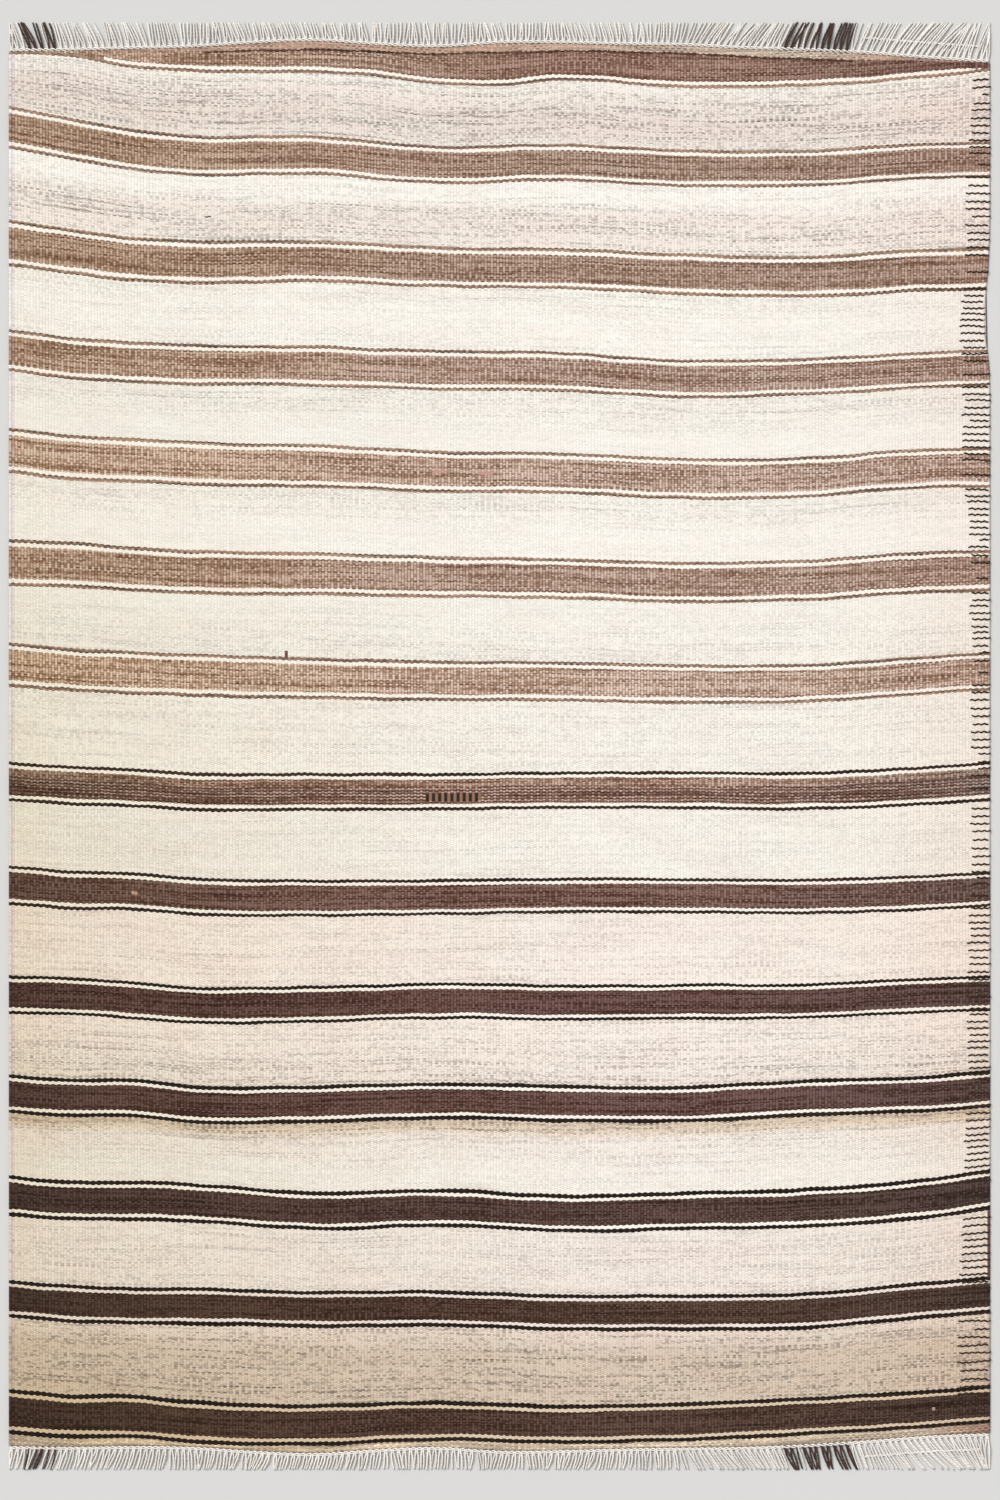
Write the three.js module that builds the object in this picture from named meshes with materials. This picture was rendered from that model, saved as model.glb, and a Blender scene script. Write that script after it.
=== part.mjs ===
import * as THREE from 'three';

// A flat-woven wool rug with a warp fringe at each end, lying on a surface.
// Sizes are in millimetres. +X runs along the weft, +Y along the warp towards
// the head end, and +Z is up. The origin is the middle of the rug, on the surface.

const CLOTH_WIDTH = 1220;
const HALF_WIDTH = CLOTH_WIDTH / 2;
const CLOTH_THICKNESS = 3;
const FRINGE_TRIM = 900; // from the middle of the rug to where the fringe was cut

const CLOTH_COLUMNS = 40; // even columns between the selvedges
const CLOTH_ROWS = 24; // even rows between the heading strips

// The row of twined weft that locks the warps is a strip of its own at each end.
const LOCK_DEPTH = 4;
const LOCK_GAP = 0.3;
const LOCK_STEPS = 64;
const FRINGE_THICKNESS = 2.2;

const STRANDS_PER_END = 150;
const STRAND_ROOT_WIDTH = 3.2;
const STRAND_TIP_WIDTH = 2.6;
const STRAND_CLEARANCE = 0.6;
const STRAND_BEND = 0.4; // share of the sideways lean that the strand has at mid length
const TRIM_UNEVENNESS = 1.4;
const SIDE_MARGIN = 0.4; // the outer strands stay this far inside the rug's width

// Where the fringe starts, across the rug: each end wanders as the wefts were beaten up.
const END_LINES = [
	{ x: - 610, head: 867, foot: - 874 },
	{ x: - 534, head: 868, foot: - 875 },
	{ x: - 458, head: 870, foot: - 874 },
	{ x: - 381, head: 872, foot: - 875 },
	{ x: - 305, head: 877, foot: - 880 },
	{ x: - 229, head: 880, foot: - 883 },
	{ x: - 153, head: 875, foot: - 878 },
	{ x: - 76, head: 872, foot: - 875 },
	{ x: 0, head: 877, foot: - 880 },
	{ x: 76, head: 877, foot: - 879 },
	{ x: 153, head: 875, foot: - 877 },
	{ x: 229, head: 874, foot: - 876 },
	{ x: 305, head: 870, foot: - 875 },
	{ x: 381, head: 868, foot: - 872 },
	{ x: 458, head: 864, foot: - 867 },
	{ x: 534, head: 858, foot: - 861 },
	{ x: 610, head: 853, foot: - 858 },
];

// The right selvedge draws in over one stretch of the upper half.
const DRAWN_IN_EDGE = [
	{ y: 440, inset: 0 },
	{ y: 463, inset: 0.7 },
	{ y: 488, inset: 2 },
	{ y: 499, inset: 6.6 },
	{ y: 555, inset: 6.6 },
	{ y: 581, inset: 3 },
	{ y: 613, inset: 1.2 },
	{ y: 650, inset: 0 },
];
const DRAWN_IN_REACH = 60;

// The bound edges stand a little proud of the cloth, and the heading strips are thinner.
const SELVEDGE_PROFILE = [
	{ inFromEdge: 0, thickness: 2 },
	{ inFromEdge: 4, thickness: 3.6 },
	{ inFromEdge: 16, thickness: CLOTH_THICKNESS },
];
const HEADING_PROFILE = [
	{ inFromEnd: 0, share: 0.75 },
	{ inFromEnd: 16, share: 0.85 },
	{ inFromEnd: 24, share: 1 },
];

// Sideways run of the strands for each millimetre of their length.
const STRAND_LEAN = [
	{ x: - 610, lean: 0 },
	{ x: - 584, lean: - 0.42 },
	{ x: - 547, lean: - 0.25 },
	{ x: - 447, lean: - 0.35 },
	{ x: - 372, lean: 0.05 },
	{ x: - 323, lean: - 0.3 },
	{ x: - 248, lean: - 0.3 },
	{ x: - 154, lean: - 0.1 },
	{ x: - 124, lean: 0.1 },
	{ x: - 76, lean: - 0.1 },
	{ x: - 37, lean: 0.1 },
	{ x: 0, lean: - 0.2 },
	{ x: 38, lean: 0.1 },
	{ x: 75, lean: - 0.2 },
	{ x: 125, lean: - 0.25 },
	{ x: 212, lean: 0.1 },
	{ x: 249, lean: 0.7 },
	{ x: 299, lean: 0.7 },
	{ x: 386, lean: 0.3 },
	{ x: 436, lean: 0.3 },
	{ x: 510, lean: 0.8 },
	{ x: 548, lean: 0.8 },
	{ x: 585, lean: 0.4 },
	{ x: 610, lean: 0 },
];

const WOOL = new THREE.Color( 0xede4d6 );
const WARP = new THREE.Color( 0xdcd6ce );

function curveThrough( rows, place, value ) {

	const places = rows.map( ( row ) => row[ place ] );
	const values = rows.map( ( row ) => row[ value ] );
	const interpolant = new THREE.CubicInterpolant( places, values, 1 );
	return ( at ) => interpolant.evaluate( at )[ 0 ];

}

function linesThrough( rows, place, value ) {

	const places = rows.map( ( row ) => row[ place ] );
	const values = rows.map( ( row ) => row[ value ] );
	const interpolant = new THREE.LinearInterpolant( places, values, 1 );
	return ( at ) => interpolant.evaluate( at )[ 0 ];

}

const fringeLine = {
	head: curveThrough( END_LINES, 'x', 'head' ),
	foot: curveThrough( END_LINES, 'x', 'foot' ),
};
const edgeInset = linesThrough( DRAWN_IN_EDGE, 'y', 'inset' );
const selvedgeThickness = linesThrough( SELVEDGE_PROFILE, 'inFromEdge', 'thickness' );
const headingShare = linesThrough( HEADING_PROFILE, 'inFromEnd', 'share' );
const strandLean = linesThrough( STRAND_LEAN, 'x', 'lean' );

function woolMaterial( color ) {

	return new THREE.MeshStandardMaterial( { color, roughness: 0.95, metalness: 0 } );

}

// Places from one edge to the other: the given steps in from each edge, and even ones between.
function placesAcross( length, steps, evenCount ) {

	const inner = steps.at( - 1 );
	const places = [ ...steps ];
	for ( let i = 1; i < evenCount; i ++ ) {

		places.push( THREE.MathUtils.lerp( inner, length - inner, i / evenCount ) );

	}

	for ( const step of [ ...steps ].reverse() ) {

		places.push( length - step );

	}

	return places;

}

function clothTop( x, inFromEnd ) {

	const inFromEdge = HALF_WIDTH - Math.abs( x );
	return selvedgeThickness( inFromEdge ) * headingShare( inFromEnd );

}

// The cloth is one flat sheet: a box whose grid is laid out to the wandering outline.
function buildCloth() {

	const edgeSteps = SELVEDGE_PROFILE.map( ( row ) => row.inFromEdge );
	const endSteps = HEADING_PROFILE.map( ( row ) => row.inFromEnd );
	const meanLength = fringeLine.head( 0 ) - fringeLine.foot( 0 ) - 2 * ( LOCK_DEPTH + LOCK_GAP );
	const columns = placesAcross( CLOTH_WIDTH, edgeSteps, CLOTH_COLUMNS );
	const rows = placesAcross( meanLength, endSteps, CLOTH_ROWS );
	const columnSteps = columns.length - 1;
	const rowSteps = rows.length - 1;

	const geometry = new THREE.BoxGeometry( 1, 1, 1, columnSteps, rowSteps, 1 );
	const position = geometry.attributes.position;
	for ( let i = 0; i < position.count; i ++ ) {

		const column = Math.round( ( position.getX( i ) + 0.5 ) * columnSteps );
		const row = Math.round( ( position.getY( i ) + 0.5 ) * rowSteps );
		const x = columns[ column ] - HALF_WIDTH;
		const headEnd = fringeLine.head( x ) - LOCK_DEPTH - LOCK_GAP;
		const footEnd = fringeLine.foot( x ) + LOCK_DEPTH + LOCK_GAP;
		const y = THREE.MathUtils.lerp( footEnd, headEnd, rows[ row ] / meanLength );
		const drawnIn = THREE.MathUtils.smoothstep( x, HALF_WIDTH - DRAWN_IN_REACH, HALF_WIDTH );
		const inFromEnd = Math.min( rows[ row ], meanLength - rows[ row ] );
		const z = position.getZ( i ) > 0 ? clothTop( x, inFromEnd ) : 0;
		position.setXYZ( i, x - drawnIn * edgeInset( y ), y, z );

	}

	geometry.computeVertexNormals();
	const mesh = new THREE.Mesh( geometry, woolMaterial( WOOL ) );
	mesh.name = 'cloth';
	return mesh;

}

// Middle lines of the strands at one level, kept in order and apart from each other.
function spreadStrands( wanted, width ) {

	const pitch = width + STRAND_CLEARANCE;
	const limit = HALF_WIDTH - SIDE_MARGIN - width / 2;
	const spread = [];
	let lowest = - limit;
	wanted.forEach( ( x, i ) => {

		const roomToTheRight = ( wanted.length - 1 - i ) * pitch;
		const placed = THREE.MathUtils.clamp( x, lowest, limit - roomToTheRight );
		spread.push( placed );
		lowest = placed + pitch;

	} );
	return spread;

}

// Each fringe is one comb: the lock strip along the cloth's end, and strands from it.
function buildFringe( name, line, side ) {

	const roots = [];
	for ( let i = 0; i < STRANDS_PER_END; i ++ ) {

		roots.push( ( ( i + 0.5 ) / STRANDS_PER_END - 0.5 ) * CLOTH_WIDTH );

	}

	const lengths = roots.map( ( x ) => FRINGE_TRIM - Math.abs( line( x ) ) );
	const leans = roots.map( ( x, i ) => strandLean( x ) * lengths[ i ] );
	const midWidth = ( STRAND_ROOT_WIDTH + STRAND_TIP_WIDTH ) / 2;
	const middles = spreadStrands( roots.map( ( x, i ) => x + STRAND_BEND * leans[ i ] ), midWidth );
	const tips = spreadStrands( roots.map( ( x, i ) => x + leans[ i ] ), STRAND_TIP_WIDTH );

	const outline = [];
	for ( let i = 0; i <= LOCK_STEPS; i ++ ) {

		const x = ( i / LOCK_STEPS - 0.5 ) * CLOTH_WIDTH;
		outline.push( new THREE.Vector2( x, line( x ) - side * LOCK_DEPTH ) );

	}

	outline.push( new THREE.Vector2( HALF_WIDTH, line( HALF_WIDTH ) ) );
	for ( let i = STRANDS_PER_END - 1; i >= 0; i -- ) {

		const rootRight = roots[ i ] + STRAND_ROOT_WIDTH / 2;
		const rootLeft = roots[ i ] - STRAND_ROOT_WIDTH / 2;
		const middleY = line( roots[ i ] ) + side * lengths[ i ] / 2;
		const tipY = side * ( FRINGE_TRIM - TRIM_UNEVENNESS * ( 1 - Math.sin( i * i ) ** 2 ) );
		outline.push( new THREE.Vector2( rootRight, line( rootRight ) ) );
		outline.push( new THREE.Vector2( middles[ i ] + midWidth / 2, middleY ) );
		outline.push( new THREE.Vector2( tips[ i ] + STRAND_TIP_WIDTH / 2, tipY ) );
		outline.push( new THREE.Vector2( tips[ i ] - STRAND_TIP_WIDTH / 2, tipY ) );
		outline.push( new THREE.Vector2( middles[ i ] - midWidth / 2, middleY ) );
		outline.push( new THREE.Vector2( rootLeft, line( rootLeft ) ) );

	}

	outline.push( new THREE.Vector2( - HALF_WIDTH, line( - HALF_WIDTH ) ) );
	const comb = new THREE.Shape( outline );
	const geometry = new THREE.ExtrudeGeometry( comb, { depth: FRINGE_THICKNESS, bevelEnabled: false } );
	const mesh = new THREE.Mesh( geometry, woolMaterial( WARP ) );
	mesh.name = name;
	return mesh;

}

const rug = new THREE.Group();
rug.name = 'flatweave_rug';
rug.add( buildCloth() );
rug.add( buildFringe( 'fringe_head', fringeLine.head, 1 ) );
rug.add( buildFringe( 'fringe_foot', fringeLine.foot, - 1 ) );

export default rug;
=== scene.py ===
import math
from collections import namedtuple

import bmesh
import bpy
import numpy as np
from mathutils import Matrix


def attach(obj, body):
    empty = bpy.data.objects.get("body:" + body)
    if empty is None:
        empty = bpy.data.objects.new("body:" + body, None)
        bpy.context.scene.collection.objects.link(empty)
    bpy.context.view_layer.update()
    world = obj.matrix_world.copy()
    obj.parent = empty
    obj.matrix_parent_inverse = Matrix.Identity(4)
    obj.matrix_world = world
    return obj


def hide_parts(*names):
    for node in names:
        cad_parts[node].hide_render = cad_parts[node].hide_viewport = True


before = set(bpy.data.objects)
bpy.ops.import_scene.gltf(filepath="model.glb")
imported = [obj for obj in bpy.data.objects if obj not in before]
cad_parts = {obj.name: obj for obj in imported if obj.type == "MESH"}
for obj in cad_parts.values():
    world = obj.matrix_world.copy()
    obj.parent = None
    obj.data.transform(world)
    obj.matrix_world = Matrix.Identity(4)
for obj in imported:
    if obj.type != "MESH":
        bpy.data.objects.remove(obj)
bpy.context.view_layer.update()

# A flat-woven wool rug, lying flat. Sizes are in millimetres until a mesh is made.
# +X runs along the weft, +Y along the warp towards the head end, +Z is up.
MM = 0.001
WIDTH = 1220.0
HALF_WIDTH = WIDTH / 2
FRINGE_TRIM = 900.0
SEED = 7

# The weave: ribs are warps, and the weft covers them, packed in picks.
WARPS = 320
WARP_PITCH = WIDTH / WARPS
PICK = 1.0
REPEAT = 130
STRIPES_IN_ALL = 14
LAST_STRIPE = (STRIPES_IN_ALL - 1) * REPEAT

# Where each stripe's wools end, in picks from its middle. OUTLINE is the pick that the
# outline tables give the place of.
FILL_END = 16.5
EDGING_END = 20.5
THIN_END = 24.5
OUTLINE = 23

# Thickness of the cloth, of the cord along each selvedge and of the cloth's ends. RIB is
# half the depth between two ribs.
THICKNESS = 3.0
RIB = 0.16
CORD_WIDTH = 6.0
CORD_THICKNESS = 3.7
CORD_EDGE = 1.3
UNDER_EDGE = 0.8
END_THICKNESS = 2.3

# How the ends thin out: (distance in from the end, share of the thickness).
END_TAPER = ((0, END_THICKNESS / THICKNESS), (6, 0.9), (24, 1))
FAR_FROM_END = 100.0
NEAR_END = 800.0

# How the cloth lifts off the floor: the mean height, and the run of its swells and ripples.
WAVE = 0.5
SWELL_X = 97.0
SWELL_Y = 143.0
SWELL_BEND = 210.0
SWELL_SHARE = 0.75
RIPPLE_X = 41.0
RIPPLE_Y = 67.0
RIPPLE_SKEW_X = 300.0
RIPPLE_SKEW_Y = 260.0

# Mesh rows in each ground and each stripe, and past the outermost outlines.
GAP_STEPS = 4
STRIPE_STEPS = 2
HEAD_STEPS = 6
FOOT_STEPS = 3

# Places on +X that the stripes' tables give values for.
STATIONS = (-610, -534, -458, -382, -230, -76, 75, 228, 382, 534, 610)
Stripe = namedtuple("Stripe", "middle rise spread")

# Each stripe's place on +Y, how far its middle rises over that at the stations across
# the rug, and the distance between its two thin outlines at the left, middle and right.
STRIPES = (
    Stripe(735, (34, 20, 6, -1, -1, -13, -10, -17, -17, -8, -6), (50, 44, 42)),
    Stripe(599, (26, 16, 6, 2, 3, -4, -6, -13, -16, -8, -6), (55, 47, 51)),
    Stripe(471, (21, 11, 6, 3, 1, -4, -6, -15, -12, -4, -1), (50, 47, 42)),
    Stripe(346, (21, 13, 9, 5, 2, -5, -7, -14, -12, -1, 0), (54, 49, 47)),
    Stripe(215, (13, 10, 5, 1, -1, -5, -7, -12, -9, 1, 3), (55, 48, 49)),
    Stripe(87, (14, 8, 4, 1, -3, -6, -7, -10, -9, 1, 6), (52, 47, 45)),
    Stripe(-53, (9, 4, 1, -4, -4, -4, -2, -2, -3, 4, 9), (46, 43, 46)),
    Stripe(-184, (11, 5, 3, -3, -5, -4, -2, -2, -3, 2, 6), (46, 41, 41)),
    Stripe(-316, (7, 5, 0, -6, -5, -1, -3, -2, -1, 6, 9), (45, 42, 41)),
    Stripe(-439, (7, 2, 2, -6, -6, -2, -5, -6, 2, 7, 13), (44, 41, 41)),
    Stripe(-568, (9, 3, 3, 0, -10, -6, -13, -10, -6, 6, 17), (46, 42, 46)),
    Stripe(-696, (9, 3, 0, 0, -4, -3, -8, -8, -6, 8, 14), (42, 40, 41)),
    Stripe(-833, (6, 0, 0, -7, -11, -6, -10, -7, 0, 9, 15), (51, 44, 42)),
)
SPREAD_STATIONS = (-610, 0, 610)

# The first stripe is a lens between its upper line, along the heading, and its lower one,
# which is given as (x, y).
FIRST_UPPER = (866, 864, 862, 862, 865, 860, 863, 860, 853, 850, 848)
FIRST_LOWER = (
    (-610, 861), (-534, 858), (-458, 844), (-382, 839), (-162, 834), (-75, 823.5), (-10, 821),
    (75, 827.5), (119, 827), (182, 821.5), (382, 821), (534, 832), (610, 840),
)

# The right selvedge draws in over one stretch of the upper half: (y, inset).
DRAWN_IN = (
    (440, 0), (463, 0.7), (488, 2), (499, 6.6), (555, 6.6), (581, 3), (613, 1.2), (650, 0),
)
DRAWN_IN_REACH = 60.0

# Sideways run of the fringe for each millimetre of its length: (x, lean).
LEAN = (
    (-610, 0), (-584, -0.42), (-547, -0.25), (-447, -0.35), (-372, 0.05), (-323, -0.3),
    (-248, -0.3), (-154, -0.1), (-124, 0.1), (-76, -0.1), (-37, 0.1), (0, -0.2), (38, 0.1),
    (75, -0.2), (125, -0.25), (212, 0.1), (249, 0.7), (299, 0.7), (386, 0.3), (436, 0.3),
    (510, 0.8), (548, 0.8), (585, 0.4), (610, 0),
)

# Where natural brown warps stand among the ivory ones: (x from, x to, share of brown).
BROWN_WARPS = ((-590, -552, 0.7), (352, 432, 0.9))

# How far the idle brown weft is caught in from the right edge: (y, reach).
CARRIED_REACH = (
    (-851, 40), (-755, 38), (-624, 35), (-487, 30), (-369, 27), (-238, 26), (-167, 23),
    (180, 23), (275, 26), (331, 33), (499, 33), (527, 35), (567, 29), (716, 29), (756, 25),
    (824, 19),
)

# The catches of that weft: the picks between two, how much more that is where they cross a
# stripe, the first one's pick, how far each reach is off the table, the share of short ones,
# and the share of its reach that a short one has.
CARRIED_STEPS = (7.6, 10.0)
CARRIED_ON_STRIPE = 1.9
CARRIED_FIRST = 33
CARRIED_UNEVEN = (-1, 4)
CARRIED_SHORT = 0.12
CARRIED_SHORTENED = (0.5, 0.8)

# The lie of each catch: its sway at each rib, its bow and slope along the weft, and how deep
# it is sunk in the cloth along its run, at its start and at the edge.
CARRIED_RADIUS = 1.3
CARRIED_SWAY = 0.75
CARRIED_BOW = (-0.9, 0.9)
CARRIED_BOW_RUN = 9
CARRIED_SLOPE = 0.03
CARRIED_SUNK = 1.0
CARRIED_RISE = 0.75
CARRIED_START_SUNK = 1.2
CARRIED_EDGE_SUNK = 0.5
CARRIED_END_HEIGHT = 1.6
CARRIED_SHADE = 0.2

# Wools, as 8-bit sRGB, from the palest to the darkest.
SNOW = (252, 247, 236)
PEARL = (247, 243, 234)
BONE = (244, 240, 230)
CREAM = (241, 236, 226)
SHELL = (242, 231, 221)
OAT = (236, 226, 216)
BISCUIT = (230, 218, 208)
SAND = (226, 211, 197)
STRAW = (222, 203, 178)
BEIGE = (208, 191, 172)
ROSE = (208, 160, 148)
OCHRE = (196, 164, 144)
FAWN = (190, 158, 139)
CAMEL = (180, 148, 130)
CLAY = (170, 138, 119)
TAWNY = (170, 136, 117)
RUSSET = (152, 116, 99)
BARK = (146, 121, 104)
WALNUT = (118, 86, 75)
UMBER = (99, 69, 61)
COFFEE = (84, 60, 52)
SABLE = (81, 57, 45)
PEAT = (54, 39, 29)
COAL = (36, 25, 18)
WARP_IVORY = (247, 241, 234)
WARP_BROWN = (78, 58, 50)
FLOOR = (215, 214, 212)

# Light that falls on the rug, as a share of what would show a wool at its own colour.
LIGHT_LEVEL = 1.17

# The camera looks straight down. PIXEL is the size on the rug of one pixel of its frame, and
# PHOTO_MIDDLE the place under the frame's middle.
CAMERA_LENS = 85.0
SENSOR = 36.0
PHOTO_HEIGHT = 1500
PIXEL = 1.2436
PHOTO_MIDDLE = (0.6, -5.0)

# The lights: strengths, and the sun's softness and tilt in degrees.
SUN_STRENGTH = 2.68
SUN_SOFTNESS = 30
SUN_TILT = (-28, -34)
ROOM_STRENGTH = 0.615

FLOOR_REACH = 30000

# The surface of wool: how rough it is, its sheen and its gloss.
WOOL_ROUGHNESS = 0.92
WOOL_SHEEN = 0.04
SHEEN_ROUGHNESS = 0.6
SPECULAR = 0.15


def linear(colour, light=LIGHT_LEVEL):
    """An 8-bit sRGB colour as a linear one, for the level of light on the rug."""
    shares = [value / 255 for value in colour]
    plain = [s / 12.92 if s <= 0.04045 else ((s + 0.055) / 1.055) ** 2.4 for s in shares]
    return (*[value / light for value in plain], 1.0)


def smooth_curve(stations, values, x):
    """A smooth curve through the values at the stations, read at the places x."""
    stations = np.asarray(stations, float)
    values = np.asarray(values, float)
    slopes = np.gradient(values, stations)
    i = np.clip(np.searchsorted(stations, x) - 1, 0, len(stations) - 2)
    step = stations[i + 1] - stations[i]
    t = (x - stations[i]) / step
    rise = (2 * t**3 - 3 * t**2 + 1) * values[i] + (3 * t**2 - 2 * t**3) * values[i + 1]
    bend = (t**3 - 2 * t**2 + t) * slopes[i] + (t**3 - t**2) * slopes[i + 1]
    return rise + bend * step


def table_curve(rows, x):
    places, values = zip(*rows)
    return np.interp(x, places, values)


def smoothstep(x, low, high):
    t = np.clip((x - low) / (high - low), 0, 1)
    return t * t * (3 - 2 * t)


def cloth_edges():
    """The cloth solid's foot and head edges: places on +X, and each edge's y there."""
    columns = {}
    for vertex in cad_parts["cloth"].data.vertices:
        columns.setdefault(round(vertex.co.x / MM, 1), []).append(vertex.co.y / MM)
    whole = {at: ys for at, ys in columns.items() if min(ys) < -NEAR_END and max(ys) > NEAR_END}
    places = sorted(whole)
    return places, [min(whole[at]) for at in places], [max(whole[at]) for at in places]


EDGE_PLACES, FOOT_EDGE, HEAD_EDGE = cloth_edges()


def foot_edge(x):
    return np.interp(x, EDGE_PLACES, FOOT_EDGE)


def head_edge(x):
    return np.interp(x, EDGE_PLACES, HEAD_EDGE)


def stripe_lines(x):
    """The rug's outline wefts at the places x, from the head down: (pick, y)."""
    lines = [(OUTLINE, smooth_curve(*zip(*FIRST_LOWER), x))]
    for number, stripe in enumerate(STRIPES, start=1):
        middle = stripe.middle + smooth_curve(STATIONS, stripe.rise, x)
        half = np.interp(x, SPREAD_STATIONS, stripe.spread) / 2
        lines.append((number * REPEAT - OUTLINE, middle + half))
        lines.append((number * REPEAT + OUTLINE, middle - half))
    return lines


class Wefts:
    """The lines that the wefts follow across the rug, read at the places x."""

    def __init__(self, x):
        self.x = x
        self.foot = foot_edge(x)
        self.head = head_edge(x)
        self.lines = stripe_lines(x)
        self.first_upper = smooth_curve(STATIONS, FIRST_UPPER, x)

    def rows(self):
        """Mesh rows from the head to the foot: (y, pick, is an outline or an end)."""
        top_pick, top = self.lines[0]
        bottom_pick, bottom = self.lines[-1]
        rows = []
        for step in range(HEAD_STEPS):
            y = self.head + (top - self.head) * step / HEAD_STEPS
            rows.append((y, top_pick - (y - top) / PICK, step == 0))
        for (pick_a, y_a), (pick_b, y_b) in zip(self.lines, self.lines[1:]):
            steps = STRIPE_STEPS if pick_b - pick_a < REPEAT / 2 else GAP_STEPS
            for step in range(steps):
                share = step / steps
                pick = np.full_like(y_a, pick_a + (pick_b - pick_a) * share)
                rows.append((y_a + (y_b - y_a) * share, pick, step == 0))
        for step in range(FOOT_STEPS + 1):
            y = bottom + (self.foot - bottom) * step / FOOT_STEPS
            rows.append((y, bottom_pick + (bottom - y) / PICK, step in (0, FOOT_STEPS)))
        return rows

    def y_at(self, pick):
        """Where one weft lies, at each of the places x."""
        picks = [line_pick for line_pick, _ in self.lines]
        ys = np.array([y for _, y in self.lines])
        i = int(np.clip(np.searchsorted(picks, pick) - 1, 0, len(picks) - 2))
        share = (pick - picks[i]) / (picks[i + 1] - picks[i])
        return ys[i] + (ys[i + 1] - ys[i]) * share


def drawn_in(x, y):
    return smoothstep(x, HALF_WIDTH - DRAWN_IN_REACH, HALF_WIDTH) * table_curve(DRAWN_IN, y)


def lie(x, y):
    """How far the cloth stands off the floor, where it isn't quite flat."""
    swell = np.sin(x / SWELL_X + 0.6 * np.sin(y / SWELL_BEND)) * np.sin(y / SWELL_Y + 1.1)
    ripple = np.sin(x / RIPPLE_X + y / RIPPLE_SKEW_Y) * np.sin(y / RIPPLE_Y - x / RIPPLE_SKEW_X)
    return WAVE * (1 + SWELL_SHARE * swell + (1 - SWELL_SHARE) * ripple)


def cloth_thickness(x, in_from_end):
    """Height of the cloth's ridges over its underside."""
    in_from_edge = HALF_WIDTH - np.abs(x)
    cord = np.clip(1 - (2 * in_from_edge / CORD_WIDTH - 1) ** 2, 0, 1) ** 0.5
    cord_height = CORD_EDGE + (CORD_THICKNESS - CORD_EDGE) * cord
    height = np.where(in_from_edge < CORD_WIDTH, cord_height, THICKNESS)
    return height * table_curve(END_TAPER, in_from_end)


def make_object(name, vertices, faces, smooth=True):
    mesh = bpy.data.meshes.new(name)
    mesh.from_pydata((np.asarray(vertices) * MM).tolist(), [], faces)
    mesh.update()
    sheet = bmesh.new()
    sheet.from_mesh(mesh)
    bmesh.ops.recalc_face_normals(sheet, faces=sheet.faces)
    sheet.to_mesh(mesh)
    sheet.free()
    for polygon in mesh.polygons:
        polygon.use_smooth = smooth
    made = bpy.data.objects.new(name, mesh)
    bpy.context.scene.collection.objects.link(made)
    return made


def add_vector_attribute(made, name, values):
    attribute = made.data.attributes.new(name, "FLOAT_VECTOR", "POINT")
    attribute.data.foreach_set("vector", np.asarray(values, np.float32).ravel())


def grid_faces(rows, columns, start):
    faces = []
    for row in range(rows - 1):
        first = start + row * columns
        for column in range(columns - 1):
            a = first + column
            faces.append((a, a + 1, a + 1 + columns, a + columns))
    return faces


def build_cloth():
    """One sheet whose mesh rows follow the wefts, with two columns to each warp rib."""
    columns = 2 * WARPS + 1
    x = np.linspace(-HALF_WIDTH, HALF_WIDTH, columns)
    wefts = Wefts(x)
    rows = wefts.rows()
    ridge = np.arange(columns) % 2
    top, bottom, top_weave, bottom_weave, kept = [], [], [], [], []
    for number, (y, pick, is_line) in enumerate(rows):
        across = x - drawn_in(x, y)
        in_from_end = np.minimum(wefts.head - y, y - wefts.foot)
        lift = lie(x, y)
        z = lift + cloth_thickness(x, in_from_end) - 2 * RIB * (1 - ridge)
        weave = np.stack([np.arange(columns) / 2, pick, (wefts.first_upper - y) / PICK], 1)
        top.append(np.stack([across, y, z], 1))
        top_weave.append(weave)
        if is_line:
            edge = np.where(HALF_WIDTH - np.abs(x) < 1, UNDER_EDGE, 0)
            under = lift + 2 * RIB * ridge + edge
            bottom.append(np.stack([across, y, under], 1))
            bottom_weave.append(weave)
            kept.append(number)
    vertices = np.concatenate(top + bottom)
    start = len(top) * columns
    faces = grid_faces(len(top), columns, 0) + grid_faces(len(bottom), columns, start)
    for j in range(columns - 1):
        last_top = (len(top) - 1) * columns + j
        last_bottom = start + (len(bottom) - 1) * columns + j
        faces.append((j, start + j, start + j + 1, j + 1))
        faces.append((last_top, last_top + 1, last_bottom + 1, last_bottom))
    for side in (0, columns - 1):
        for k in range(len(kept) - 1):
            outer = [row * columns + side for row in range(kept[k], kept[k + 1] + 1)]
            inner = [start + (k + 1) * columns + side, start + k * columns + side]
            faces.append(tuple(outer + inner))
    cloth = make_object("cloth_weave", vertices, faces)
    add_vector_attribute(cloth, "weave", np.concatenate(top_weave + bottom_weave))
    return cloth


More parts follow.
